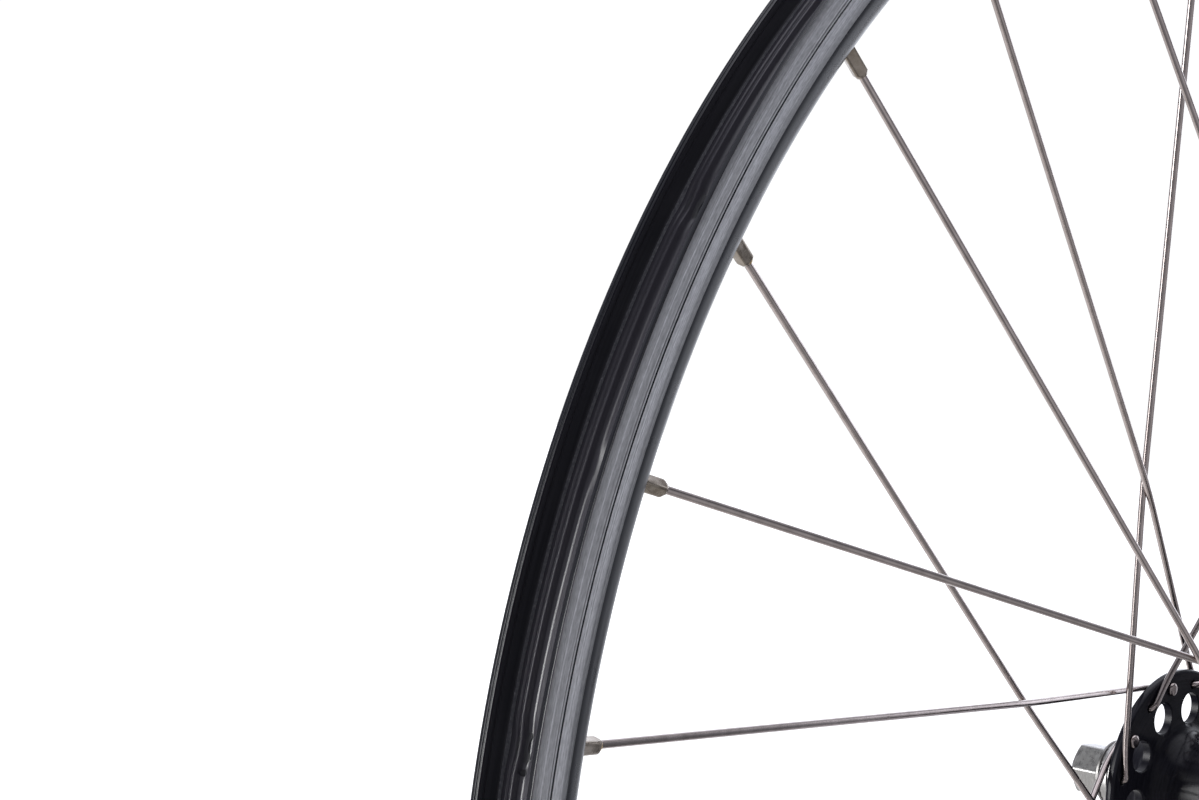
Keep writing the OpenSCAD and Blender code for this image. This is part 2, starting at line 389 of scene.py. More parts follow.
def black_anodised():
    """The rim's satin skin, with the faint lines of the extrusion round it."""
    m = Material("black_anodised", (0.028, 0.030, 0.037), roughness=0.3, IOR=1.5)
    flow = m.round_the_axle(900, 6)
    m.colour(m.ramp(m.noise(1.0, flow), [(0.3, (0.022, 0.024, 0.030)), (0.7, (0.034, 0.036, 0.045))]))
    m.roughness(m.ramp(m.noise(60.0), [(0.3, 0.24), (0.7, 0.34)]))
    m.bump(m.noise(1.0, flow, detail=4.0), 0.00003, 0.35)
    return m.material


def channel_wall():
    """The inside of the rim's two walls, which the tyre rubs duller."""
    m = Material("channel_wall", (0.034, 0.034, 0.041), roughness=0.4, IOR=1.5)
    flow = m.round_the_axle(1200, 8)
    m.colour(m.ramp(m.noise(1.0, flow), [(0.3, (0.024, 0.024, 0.03)), (0.7, (0.044, 0.044, 0.053))]))
    m.roughness(m.ramp(m.noise(90.0), [(0.3, 0.34), (0.7, 0.5)]))
    m.bump(m.noise(1.0, flow, detail=4.0), 0.00003, 0.4)
    return m.material


def bead_seat():
    """The bare floor of the tyre channel, painted a lighter grey than the black rim for the sheen of its rougher
    face, with a coarse grain whose bright specks are painted highlights.
    """
    m = Material("bead_seat", (0.16, 0.16, 0.18), roughness=0.5, IOR=1.5)
    grain = m.noise(1500.0, detail=5.0, roughness=0.7)
    # Painted highlights: the last, near-white stop of this ramp paints the grain's specks as glints.
    m.colour(m.ramp(grain, [(0.35, (0.11, 0.11, 0.13)), (0.6, (0.2, 0.2, 0.22)), (0.72, (0.5, 0.5, 0.53))]))
    m.roughness(m.ramp(grain, [(0.3, 0.42), (0.7, 0.6)]))
    m.bump(grain, 0.00006, 0.7)
    return m.material


# Painted reflection: how bright the machined track is painted across its width, from its inner edge (0) to the
# rim's outer edge (1), in bands that stand for how its faces catch the light. The groove is at 0.54.
TRACK_REFLECTION_BANDS = [
    *[(0, 0.3), (0.06, 0.45), (0.12, 0.55), (0.2, 0.85), (0.28, 1), (0.43, 1), (0.52, 0.95)],
    *[(0.53, 0.45), (0.56, 0.45)],
    *[(0.57, 1), (0.61, 0.75), (0.72, 0.68), (0.76, 1), (0.8, 0.8), (0.9, 0.62), (0.97, 0.5), (1, 0.5)],
]


def machined_track():
    """The braking face: turned lines round it, with bands of painted reflection across it."""
    m = Material("machined_track", (0.40, 0.40, 0.42), metallic=1.0, roughness=0.42)
    lines = m.noise(1.0, m.round_the_axle(3200, 2.2), detail=5.0, roughness=0.7)
    grains = m.noise(1.0, m.round_the_axle(2400, 160), detail=3.0, roughness=0.6)
    both = m.math("ADD", m.math("MULTIPLY", lines, 0.6), m.math("MULTIPLY", grains, 0.4))
    shade = m.ramp(both, [(0.34, (0.41, 0.41, 0.43)), (0.5, (0.66, 0.66, 0.69)), (0.68, (0.95, 0.95, 0.99))])
    # Painted reflection: the bands darken and lighten the track's colour across its width.
    m.colour(m.product(shade, m.ramp(m.height(TRACK_R, RIM_R), TRACK_REFLECTION_BANDS)))
    m.roughness(m.ramp(lines, [(0.3, 0.34), (0.7, 0.52)]))
    m.bump(lines, 0.00012, 0.8)
    return m.material


def tape_film():
    """Glossy plastic film, a little duller down in the well."""
    m = Material("tape_film", (0.072, 0.069, 0.084), roughness=0.12, IOR=1.5)
    shine = m.ramp(m.height(WELL_R, SEAT_R + 1), [(0.3, 0.15), (0.5, 0.09), (1.0, 0.09)])
    m.roughness(m.math("ADD", shine, m.math("MULTIPLY", m.noise(35.0), 0.06)))
    m.bump(m.noise(1.0, m.round_the_axle(260, 26), detail=2.0), 0.00008, 0.5)
    return m.material


def polished_black(name, specular):
    """Deep black with fine polishing lines."""
    m = Material(name, (0.014, 0.014, 0.019), roughness=0.14, IOR=1.5, Specular_IOR_Level=specular)
    flow = m.round_the_axle(1500, 3)
    m.colour(m.ramp(m.noise(1.0, flow), [(0.3, (0.010, 0.010, 0.014)), (0.7, (0.018, 0.018, 0.025))]))
    m.roughness(m.ramp(m.noise(120.0), [(0.3, 0.1), (0.7, 0.2)]))
    m.bump(m.noise(1.0, flow), 0.00002, 0.3)
    return m.material


def drawn_wire():
    """Stainless spoke wire with a faint mottle."""
    m = Material("drawn_wire", (0.48, 0.42, 0.405), metallic=1.0, roughness=0.22)
    grain = m.noise(260.0, detail=3.0)
    m.colour(m.ramp(grain, [(0.3, (0.415, 0.365, 0.352)), (0.7, (0.535, 0.472, 0.46))]))
    m.roughness(m.ramp(m.noise(120.0), [(0.3, 0.13), (0.7, 0.19)]))
    m.bump(m.noise(900.0), 0.000008, 0.3)
    return m.material


def nipple_plate():
    """Dulled nickel on brass, patchy and slightly pitted."""
    m = Material("nipple_plate", (0.40, 0.35, 0.30), metallic=1.0, roughness=0.36)
    patches = m.noise(500.0, detail=4.0)
    m.colour(m.ramp(patches, [(0.3, (0.24, 0.202, 0.165)), (0.7, (0.395, 0.348, 0.302))]))
    m.roughness(m.ramp(patches, [(0.3, 0.2), (0.7, 0.34)]))
    m.bump(m.noise(1600.0, detail=4.0), 0.00006, 0.5)
    return m.material


def bare_brass():
    """Where the plating is gone, at a nipple's tip."""
    m = Material("bare_brass", (0.47, 0.33, 0.12), metallic=1.0, roughness=0.38)
    m.colour(m.ramp(m.noise(900.0), [(0.3, (0.33, 0.22, 0.07)), (0.7, (0.55, 0.40, 0.17))]))
    return m.material


def turned_steel(name, low, high, roughness):
    """Steel with the lathe's rings round the axle, between two shades."""
    m = Material(name, low, metallic=1.0, roughness=roughness)
    rings = m.noise(1.0, m.round_the_axle(2600, 3), detail=4.0)
    m.colour(m.ramp(rings, [(0.3, low), (0.7, high)]))
    m.roughness(m.ramp(m.noise(500.0), [(0.3, roughness - 0.08), (0.7, roughness + 0.1)]))
    m.bump(rings, 0.00003, 0.45)
    return m.material


def plain(name, low, high, metallic, roughness):
    """A fine-grained surface between two shades."""
    m = Material(name, low, metallic=metallic, roughness=roughness)
    m.colour(m.ramp(m.noise(700.0), [(0.3, low), (0.7, high)]))
    m.roughness(m.ramp(m.noise(300.0), [(0.3, roughness * 0.8), (0.7, roughness * 1.2)]))
    m.bump(m.noise(1400.0), 0.00002, 0.4)
    return m.material


MAT = {
    "anodised": black_anodised(),
    "channel": channel_wall(),
    "seat": bead_seat(),
    "track": machined_track(),
    "tape": tape_film(),
    "edge": polished_black("polished_edge", 0.5),
    "hub": polished_black("polished_hub", 0.12),
    "wire": drawn_wire(),
    "nipple": nipple_plate(),
    "brass": bare_brass(),
    "zinc": turned_steel("zinc_steel", (0.33, 0.325, 0.32), (0.47, 0.465, 0.46), 0.3),
    "dark_steel": turned_steel("dark_steel", (0.17, 0.165, 0.16), (0.27, 0.265, 0.26), 0.36),
    "ground": turned_steel("ground_steel", (0.62, 0.62, 0.64), (0.76, 0.76, 0.78), 0.16),
    "seal": plain("seal_rubber", (0.010, 0.010, 0.011), (0.020, 0.020, 0.021), 0.0, 0.6),
    "cage": plain("cage_plastic", (0.12, 0.055, 0.025), (0.17, 0.085, 0.04), 0.0, 0.5),
    "alloy": plain("mill_alloy", (0.50, 0.50, 0.52), (0.66, 0.66, 0.68), 0.95, 0.4),
}


# ---------------------------------------------------------------- lacing
def spoke_side(i):
    """Spokes alternate between the flanges, and pairs of them between the two leans."""
    return LEFT if i % 2 == 0 else RIGHT


def spoke_lean(i):
    return TRAILING if i % 4 < 2 else LEADING


def nipple_angle(i):
    return FIRST - i * PITCH


def cross_point(i):
    """Where a spoke passes its third crossing, on its own side of the other spoke."""
    y = spoke_side(i) * (CROSS_Y + spoke_lean(i) * WEAVE)
    return polar(CROSS_R, nipple_angle(i) + spoke_lean(i) * PITCH, y)


def nipple_point(i):
    return polar(NIPPLE_R, nipple_angle(i), spoke_side(i) * NIPPLE_Y)


def rim_direction(i):
    return unit(nipple_point(i) - cross_point(i))


def smooth_path(points, fillets, steps):
    """Straight runs joined by curves that start a fillet's length from each corner."""
    out = [points[0]]
    for before, corner, after, fillet, count in zip(points, points[1:], points[2:], fillets, steps):
        out += bend(corner + unit(before - corner) * fillet, corner, corner + unit(after - corner) * fillet, count)
    return out + [points[-1]]


# The forged head of a spoke: distance from the flange's face, and radius
SPOKE_HEAD = [(-1.2, 1.2), (-1.12, 1.65), (-0.85, 2.0), (-0.45, 2.12), (-0.15, 2.05), (0.0, 1.9), (0.12, 1.15)]
SPOKE_SIDES = 16


def spoke(i):
    """One spoke: the head on a flange's face, the elbow in its hole, then straight past its crossing."""
    side, out = spoke_side(i), -spoke_lean(i)
    hub_angle = nipple_angle(i) + spoke_lean(i) * LACE
    y_run = side * (FLANGE_Y + out * (FLANGE_T / 2 + ELBOW_GAP))
    y_face = side * (FLANGE_Y - out * (FLANGE_T / 2 + 0.05))
    inward = np.array([0, side * out, 0])
    face = polar(SPOKE_CIRCLE, hub_angle, y_face)
    hole = polar(SPOKE_CIRCLE, hub_angle, y_run)
    far = cross_point(i)
    edge = hole + FLANGE_RUN * unit((far - hole) * [1, 0, 1])
    tip = nipple_point(i) + INTO_NIPPLE * rim_direction(i)
    path = [face + inward * at for at, _ in SPOKE_HEAD]
    radii = [r for _, r in SPOKE_HEAD]
    rest = smooth_path([face + inward * 0.4, hole, edge, far, tip], [2.1, 4.0, 9.0], [9, 4, 8])
    return swept(path + rest, radii + [SPOKE_R] * len(rest), SPOKE_SIDES)


def build_spokes():
    for side, side_name in ((LEFT, "left"), (RIGHT, "right")):
        for lean, lean_name in ((TRAILING, "trailing"), (LEADING, "leading")):
            group = [spoke(i) for i in range(SPOKES) if spoke_side(i) == side and spoke_lean(i) == lean]
            name = f"spokes_{side_name}_{lean_name}"
            obj = piece(f"{name}.wire", joined(group), [MAT["wire"]], sharp=50)
            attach(obj, "wheel")
            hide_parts(name)


NIPPLE_SIDES = 48
NIPPLE_FLAT = 1.65
NIPPLE_CORNER = 2.1
NIPPLE_TIP = -3.0
NIPPLE_TURNS = {0: 75, 1: 45, 2: 82, 3: 60}  # degrees; any other nipple i is turned by i times the last one
OTHER_TURN = 52


def nipple():
    """One nipple along +Z, from its tip: flats, shank, then the head inside the rim."""
    a = (np.arange(NIPPLE_SIDES) + 0.5) * 2 * math.pi / NIPPLE_SIDES
    flat = np.minimum(NIPPLE_CORNER, NIPPLE_FLAT / np.maximum(abs(np.cos(a)), abs(np.sin(a))))
    round_ = np.ones(NIPPLE_SIDES)
    rings = [
        (NIPPLE_TIP, round_ * 1.06),
        (NIPPLE_TIP, round_ * 1.34),
        (-2.93, round_ * 1.42),
        (-2.25, np.minimum(flat, 1.86) * 0.985),
        (-2.1, np.minimum(flat, 1.95)),
        (-1.9, flat),
        (4.6, flat),
        (4.9, (flat + 2.0) / 2),
        (5.2, round_ * 2.0),
        (8.6, round_ * 2.0),
        (9.2, round_ * 2.5),
        (9.5, round_ * 2.78),
        (10.4, round_ * 2.8),
        (10.8, round_ * 2.5),
        (10.8, round_ * 1.2),
        (4.0, round_ * 1.06),
    ]
    verts = [np.stack([r * np.cos(a), r * np.sin(a), np.full(NIPPLE_SIDES, z)], -1) for z, r in rings]
    return np.concatenate(verts), ring_faces(len(rings), NIPPLE_SIDES)


def build_nipples():
    bare_r = NIPPLE_R + NIPPLE_TIP + 0.35
    one = nipple()
    for side, side_name in ((LEFT, "left"), (RIGHT, "right")):
        group = [
            placed(one, nipple_point(i), rim_direction(i), math.radians(NIPPLE_TURNS.get(i, OTHER_TURN * i)))
            for i in range(SPOKES)
            if spoke_side(i) == side
        ]
        obj = piece(
            f"nipples_{side_name}.plated",
            joined(group),
            [MAT["nipple"], MAT["brass"]],
            pick=lambda c, n: 1 if math.hypot(c.x, c.z) < bare_r else 0,
            sharp=30,
        )
        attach(obj, "wheel")
        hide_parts(f"nipples_{side_name}")


# ---------------------------------------------------------------- rim
RIM_STEPS = 12 * SPOKES
ANODISED, TRACK, SEAT, CHANNEL, EDGE = range(5)
NIPPLE_HOLE_R = 2.15
BED_LEVEL, WELL_LEVEL = 10, 20  # how far up from the nipple's own point its hole widens, and ends


def arc(centre, r, start, end, steps):
    """Points (radius, y) on a round section, angles from the outward direction towards +y."""
    return [
        np.array([centre + r * math.cos(math.radians(a)), r * math.sin(math.radians(a))])
        for a in np.linspace(start, end, steps)
    ]


def rim_profile():
    """The section: well, seat, hooked wall, edge, wear groove, braking track, then the round belly."""
    side = rounded(
        [
            (WELL_R, 0),
            (WELL_R, WELL_Y, 1.2),
            (SEAT_R, SEAT_Y, 0.8),
            (SEAT_R, WALL_Y, 0.5),
            (RIM_R - 2.5, WALL_Y, 0.5),
            (RIM_R - 1.9, HOOK_Y, 0.25),
            (RIM_R - 0.25, HOOK_Y - 0.15, 0.34),
            (RIM_R - 0.25, HOOK_Y + 0.6, 0.08),
            (RIM_R, HOOK_Y + 0.72, 0.14),
            (RIM_R, HALF_W, 0.35),
            (GROOVE_R + 1.06, HALF_W, 0.04),
            (GROOVE_R + 0.88, HALF_W - 0.09, 0.04),
            (GROOVE_R + 0.7, HALF_W, 0.04),
            (GROOVE_R + 0.45, HALF_W, 0.05),
            (GROOVE_R + 0.22, HALF_W - 0.1, 0.05),
            (GROOVE_R, HALF_W - 0.3, 0.12),
            (GROOVE_R - 0.26, HALF_W, 0.05),
            (TRACK_R + 2.2, HALF_W, 0.6),
            (TRACK_R + 1.0, HALF_W - 0.07, 0.5),
            (TRACK_R + 0.1, HALF_W - 0.22, 0.1),
            (TRACK_R, HALF_W - 0.32, 0.05),
        ],
        steps=4,
        closed=False,
    )
    start = math.degrees(math.acos((TRACK_R - 0.3 - BELLY_C) / BELLY_R))
    half = side[1:] + arc(BELLY_C, BELLY_R, start, 180, 26)[:-1]
    bottom = np.array([BED_R, 0.0])
    return [side[0], *half, bottom, *mirrored(half)]


def rim_box_profile():
    """The hollow inside the rim, below the tyre bed."""
    r = BELLY_R - BOX_WALL
    top = WELL_R - 1.5
    start = math.degrees(math.acos((top - BELLY_C) / r))
    return arc(BELLY_C, r, start, 360 - start, 22)


def rod_cutter(r, start, end, steps=32):
    """A rod along +Z that cuts a round hole."""
    return spun([(NEAR_AXLE, start), (r, start), (r, end), (NEAR_AXLE, end)], steps)


def build_rim():
    def pick(c, n):
        """The material of a face, from its centre and normal."""
        r = math.hypot(c.x, c.z)
        if TRACK_R + 0.02 < r < RIM_R - 0.1 and abs(c.y) > HALF_W - 0.36:
            in_groove = GROOVE_R - 0.2 < r < GROOVE_R + 0.24
            return ANODISED if in_groove else TRACK
        if r > RIM_R - 1.0:
            return EDGE
        if r > WELL_R - 0.1 and abs(c.y) < WALL_Y + 0.1:
            facing_out = (n.x * c.x + n.z * c.z) / r > 0.9
            return SEAT if facing_out and abs(r - SEAT_R) < 0.2 else CHANNEL
        return ANODISED

    mats = [MAT["anodised"], MAT["track"], MAT["seat"], MAT["channel"], MAT["edge"]]
    rim = piece("rim.section", lathe(rim_profile(), RIM_STEPS), mats)
    hollow = piece("hollow", lathe(rim_box_profile(), RIM_STEPS), mats)
    boolean(rim, hollow)
    holes = []
    for i in range(SPOKES):
        for r, start, end in ((NIPPLE_HOLE_R, -1, BED_LEVEL), (ACCESS_R, BED_LEVEL, WELL_LEVEL)):
            holes.append(placed(rod_cutter(r, start, end), nipple_point(i), rim_direction(i)))
    holes.append(placed(rod_cutter(VALVE_R, -4, 16, 48), BED_R * UP, UP))
    boolean(rim, piece("holes", joined(holes), mats))
    finish_mesh(rim, pick, sharp=28)
    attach(rim, "wheel")
    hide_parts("rim")


# ---------------------------------------------------------------- tape
TAPE_T = 0.5
TAPE_Y = WALL_Y - 1.45
TAPE_STEPS = 24 * SPOKES
DIMPLE_DEPTH = 0.75
DIMPLE_R = 4.6
DIMPLE_Y = 2.2
DIMPLE_LEVEL = 16.5
RIPPLE = 0.03
VENT_ANGLE = 175.7
VENT_Y = 2.8
VENT_R = 0.75


def tape_profile():
    """Flat in the well, then up in two steps on to the seat, and an edge short of the wall."""
    low, high = WELL_R + 0.05 + TAPE_T, SEAT_R + 0.02 + TAPE_T
    half = rounded(
        [
            (0.0, low),
            (3.2, low + 0.05, 1.3),
            (3.7, high - 0.62, 0.34),
            (4.45, high - 0.6, 0.05),
            (4.75, high - 0.1, 0.5),
            (5.3, high, 0.3),
            (TAPE_Y - 0.35, high, 0.25),
            (TAPE_Y, high - TAPE_T + 0.05, 0.1),
            (TAPE_Y - 0.25, high - TAPE_T, 0.05),
            (5.1, high - TAPE_T, 0.2),
            (4.3, high - TAPE_T - 0.75, 0.2),
            (3.2, low - TAPE_T + 0.25, 0.3),
            (0.0, low - TAPE_T),
        ],
        steps=5,
        closed=False,
    )
    half = [p[::-1] for p in half]
    return half + mirrored(half[1:-1])


def build_tape():
    """The tape, drawn in over each access hole and faintly rippled."""
    centres = []
    for i in range(SPOKES):
        p = nipple_point(i) + DIMPLE_LEVEL * rim_direction(i)
        centres.append((math.atan2(p[2], p[0]), DIMPLE_Y * spoke_side(i)))

    def sag(turn, r, y):
        change = np.zeros_like(r)
        for angle, at_y in centres:
            gap = (turn - angle + math.pi) % (2 * math.pi) - math.pi
            near = (gap * r) ** 2 + (y - at_y) ** 2
            change -= DIMPLE_DEPTH * np.exp(-((near / DIMPLE_R**2) ** 1.5))
        ripple = np.sin(37 * turn + 0.8 * np.sin(11 * turn)) * np.cos(0.35 * y + 3 * np.sin(5 * turn))
        return change + RIPPLE * ripple

    tape = piece("rim_tape.film", lathe(tape_profile(), TAPE_STEPS, radius_change=sag), [MAT["tape"]], sharp=60)
    vent = polar(1, VENT_ANGLE, 0)
    holes = [
        placed(rod_cutter(VALVE_R + 0.25, -6, 12, 48), WELL_R * UP, UP),
        placed(rod_cutter(VENT_R, -3, 6), WELL_R * vent + [0, VENT_Y, 0], vent),
    ]
    boolean(tape, piece("tape_holes", joined(holes), [MAT["tape"]]))
    finish_mesh(tape, sharp=60)
    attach(tape, "wheel")
    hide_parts("rim_tape")


# ---------------------------------------------------------------- hub
WINDOWS = 10
WINDOW_CIRCLE = 24.6
WINDOW_R = 4.9
WINDOW_START = 11.45
SPOKE_HOLE_R = 1.3
HUB_STEPS = 240
BARREL_R = 13.8
BARREL_BORE = 11.0
BOSS_R = 15.5
BEARING_R = 13.0
BEARING_IN = 38.0


def hub_profile():
    """Barrel, high flange, and the boss that holds a bearing."""
    inner, outer = FLANGE_Y - FLANGE_T / 2, FLANGE_Y + FLANGE_T / 2
    half = rounded(
        [
            (BARREL_R, 0),
            (BARREL_R, 23, 6),
            (BARREL_R + 0.9, 28.5, 3),
            (BARREL_R + 4.6, inner, 3.2),
            (FLANGE_R, inner, 1.1),
            (FLANGE_R, outer, 1.1),
            (BOSS_R + 3.4, outer, 1.2),
            (BOSS_R + 2.6, outer + 1.0, 0.6),
            (BOSS_R, outer + 2.4, 1.6),
            (BOSS_R, BOSS_Y - 3.2, 0.1),
            (BOSS_R - 0.35, BOSS_Y - 2.9, 0.1),
            (BOSS_R - 0.35, BOSS_Y - 2.5, 0.1),
            (BOSS_R, BOSS_Y - 2.2, 0.1),
            (BOSS_R, BOSS_Y, 0.7),
            (BEARING_R + 0.3, BOSS_Y, 0.2),
            (BEARING_R + 0.02, BOSS_Y - 0.5, 0.1),
            (BEARING_R + 0.02, BEARING_IN, 0.2),
            (BARREL_BORE, BEARING_IN, 0.2),
            (BARREL_BORE, 0),
        ],
        steps=6,
        closed=False,
    )
    return half + mirrored(half[1:-1])


def chamfered_cutter(r, half_length, chamfer, steps):
    """A hole's cutter that flares at both faces of the flange."""
    past = 1.5
    flare, end = r + chamfer + past, half_length + past
    profile = [(NEAR_AXLE, -end), (flare, -end), (r, -half_length + chamfer)]
    profile += [(r, half_length - chamfer), (flare, end), (NEAR_AXLE, end)]
    return spun(profile, steps)


def build_hub():
    hub = piece("hub_shell.body", lathe(hub_profile(), HUB_STEPS), [MAT["hub"]])
    cuts = []
    for side in (LEFT, RIGHT):
        for k in range(WINDOWS):
            at = polar(WINDOW_CIRCLE, WINDOW_START + 360 * k / WINDOWS, side * FLANGE_Y)
            cuts.append(placed(chamfered_cutter(WINDOW_R, FLANGE_T / 2, 0.3, 48), at, AXLE_WAY))
    for i in range(SPOKES):
        at = polar(SPOKE_CIRCLE, nipple_angle(i) + spoke_lean(i) * LACE, spoke_side(i) * FLANGE_Y)
        cuts.append(placed(chamfered_cutter(SPOKE_HOLE_R, FLANGE_T / 2, 0.25, 24), at, AXLE_WAY))
    boolean(hub, piece("hub_cuts", joined(cuts), [MAT["hub"]]))
    finish_mesh(hub, sharp=30)
    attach(hub, "wheel")
    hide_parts("hub_shell")


# ---------------------------------------------------------------- axle and its nuts
THREAD_PITCH = 1.0
THREAD_DEPTH = 0.42
THREAD_START = 46.0
THREAD_STEP = THREAD_PITCH / 8
SHOULDER_R = 6.0
SEATED_R = 4.99


def build_axle():
    """The axle, with a right-hand thread cut outside the bearings and a centre mark in each end."""
    stop = BEARING_IN - 0.02
    shoulder = [(SHOULDER_R, 0), (SHOULDER_R, stop), (SEATED_R, stop), (SEATED_R, THREAD_START)]
    threaded = [(THREAD_R, y) for y in np.arange(THREAD_START + THREAD_STEP, AXLE_END - 0.75, THREAD_STEP)]
    end = [(THREAD_R - 0.05, AXLE_END - 0.7), (THREAD_R - 0.75, AXLE_END), (1.6, AXLE_END), (0.9, AXLE_END - 1.2)]
    half = [np.array(p) for p in shoulder + threaded + end + [(NEAR_AXLE, AXLE_END - 1.5)]]

    def thread(turn, r, y):
        phase = (abs(y) / THREAD_PITCH * np.sign(y) + turn / (2 * math.pi)) % 1.0
        cut = THREAD_DEPTH * np.clip(1.25 * abs(2 * phase - 1) - 0.15, 0, 1)
        inside = (abs(y) > THREAD_START) & (abs(y) < AXLE_END - 0.72) & (r > THREAD_R - 0.01)
        run_out = np.clip((abs(y) - THREAD_START) / 1.2, 0, 1)
        return -cut * inside * run_out

    axle = piece("axle.threaded", lathe(half + mirrored(half), 48, radius_change=thread), [MAT["zinc"]], sharp=40)
    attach(axle, "axle_assembly")
    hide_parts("axle")


NUT_FLAT = 7.5
NUT_BORE = THREAD_R + 0.06


def hexagon(flat, corner):
    """A hexagon's outline with each corner rounded."""
    r = flat / math.cos(math.pi / 6)
    return rounded([(r * math.cos(a), r * math.sin(a), corner) for a in np.arange(6) * math.pi / 3], steps=4)


def build_nut(side):
    """A hexagon, crossed with a turned solid that chamfers its corners and opens its bore."""
    height = NUT_END - NUT_START
    outline = np.array(hexagon(NUT_FLAT, 0.55))
    n = len(outline)
    verts = np.concatenate([np.column_stack([outline, np.full(n, z)]) for z in (0, height)])
    faces = ring_faces(2, n, wrap_rows=False) + [list(range(n))[::-1], list(range(n, 2 * n))]
    base = NUT_START * AXLE_WAY
    limit = [(NUT_BORE + 0.55, 0), (7.9, 0), (9.2, 0.75), (9.2, height - 1.15), (7.15, height)]
    limit += [(NUT_BORE + 0.6, height), (NUT_BORE, height - 0.6), (NUT_BORE, 0.55)]
    hexa = SIDES[side](placed((verts, faces), base, AXLE_WAY, math.pi / 6))
    nut = piece(f"axle_nut_{side}.hex", hexa, [MAT["zinc"]])
    turned = SIDES[side](placed(spun(limit, 96), base, AXLE_WAY))
    boolean(nut, piece("nut_limit", turned, [MAT["zinc"]]), "INTERSECT")
    finish_mesh(nut, sharp=24)
    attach(nut, f"nut_{side}")
    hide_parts(f"axle_nut_{side}")


TEETH = 36
TOOTH_DEPTH = 0.35
TOOTH_REACH = 0.95 * TOOTH_DEPTH


def teeth(turn):
    """A saw-tooth wave from 0 to 1 round a face."""
    return (turn * TEETH / (2 * math.pi)) % 1.0


def build_washer(side):
    """A washer with radial teeth on the face that grips the fork end."""
    profile = [
        (NUT_BORE, WASHER_START + 0.1),
        (6.4, WASHER_START + 0.1),
        (6.6, WASHER_START + TOOTH_DEPTH),
        (WASHER_R - 0.6, WASHER_START + TOOTH_DEPTH),
        (WASHER_R - 0.35, WASHER_START + TOOTH_DEPTH + 0.1),
        (WASHER_R, WASHER_START + 0.75),
        (WASHER_R, WASHER_END - 0.55),
        (WASHER_R - 0.3, WASHER_END - 0.2),
        (WASHER_R - 0.9, WASHER_END),
        (NUT_BORE + 0.2, WASHER_END),
        (NUT_BORE, WASHER_END - 0.2),
    ]

    def serrate(turn, r, y):
        face = abs(y - WASHER_START - TOOTH_DEPTH) < 0.01
        return -TOOTH_REACH * teeth(turn) * face

    part = SIDES[side](lathe(profile, 8 * TEETH, side_change=serrate))
    washer = piece(f"serrated_washer_{side}.toothed", part, [MAT["dark_steel"]], sharp=25)
    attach(washer, f"washer_{side}")
    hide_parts(f"serrated_washer_{side}")


def build_locknut(side):
    """A round locknut with a groove round it and teeth on its outer face."""
    groove = 0.3
    middle = (LOCKNUT_START + LOCKNUT_END) / 2
    profile = rounded(
        [
            (NUT_BORE, LOCKNUT_START, 0.2),
            (LOCKNUT_R - 1.6, LOCKNUT_START, 0.3),
            (LOCKNUT_R, LOCKNUT_START + 1.0, 0.3),
            (LOCKNUT_R, middle - 0.5, 0.05),
            (LOCKNUT_R - groove, middle - 0.2, 0.1),
            (LOCKNUT_R - groove, middle + 0.2, 0.1),
            (LOCKNUT_R, middle + 0.5, 0.05),
            (LOCKNUT_R, LOCKNUT_END - 0.2, 0.3),
            (LOCKNUT_R - 0.35, LOCKNUT_END - TOOTH_DEPTH, 0.05),
            (6.6, LOCKNUT_END - TOOTH_DEPTH, 0.05),
            (6.4, LOCKNUT_END, 0.1),
            (NUT_BORE, LOCKNUT_END, 0.2),
        ],
        steps=3,
    )

    def serrate(turn, r, y):
        face = (abs(y - LOCKNUT_END + TOOTH_DEPTH) < 0.03) & (r > 6.55)
        return TOOTH_REACH * teeth(turn) * face

    part = SIDES[side](lathe(profile, 8 * TEETH, side_change=serrate))
    nut = piece(f"locknut_{side}.faced", part, [MAT["zinc"]], sharp=25)
    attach(nut, "axle_assembly")
    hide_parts(f"locknut_{side}")


# ---------------------------------------------------------------- CAD nodes that stay
def dress(node, material):
    """A CAD node keeps its shape and gets a better material."""
    mesh = frame["nodes"][node].data
    mesh.materials.clear()
    mesh.materials.append(material)


def dress_cad_nodes():
    dress("rim_sleeve", MAT["alloy"])
    for side in SIDES:
        dress(f"bearing_outer_ring_{side}", MAT["ground"])
        dress(f"bearing_inner_ring_{side}", MAT["ground"])
        dress(f"bearing_balls_{side}", MAT["ground"])
        dress(f"bearing_cage_{side}", MAT["cage"])
        dress(f"bearing_seals_{side}", MAT["seal"])
        dress(f"dust_cap_{side}", MAT["hub"])
        dress(f"bearing_spacer_{side}", MAT["zinc"])


# ---------------------------------------------------------------- studio
# Each light is a patch of the world round an axis: (cosine of the angle from the axis, brightness)
CAMERA_AT = (-0.6376, -0.3486, 0.1012)
CAMERA_TURN = (90.154, -5.397, -44.19)
CAMERA_LENS = 69.0
ROOM_AXIS = (0.951, 0.309, 0.0)
ROOM = [
    *[(-1.0, 0.07), (-0.5, 0.1), (-0.1, 0.14), (0.25, 0.13), (0.55, 0.11), (0.71, 0.11)],
    *[(0.78, 0.85), (1.0, 0.85)],
]
ROOM_HEIGHT = [
    *[(-0.7, 0.2), (-0.45, 0.36), (-0.15, 0.44), (0.0, 0.68), (0.08, 0.88)],
    *[(0.3, 1.0), (0.42, 0.6), (0.6, 0.15), (1.0, 0.1)],
]
TOP_AXIS = (0.503, 0.503, 0.704)
TOP = [(0.42, 0.0), (0.64, 0.35), (0.85, 0.2), (0.95, 0.45), (1.0, 0.5)]
TABLE_AXIS = (0.1, 0.55, -0.83)
TABLE = [(0.35, 0.0), (0.6, 0.35), (0.75, 0.6), (0.9, 0.8), (1.0, 0.95)]
FRONT_AXIS = (0.35, -0.85, -0.40)
FRONT = [(0.7, 0.0), (0.85, 0.1), (0.92, 0.35), (1.0, 0.4)]
CEILING_AXIS = (0.15, 0.0, 0.98)
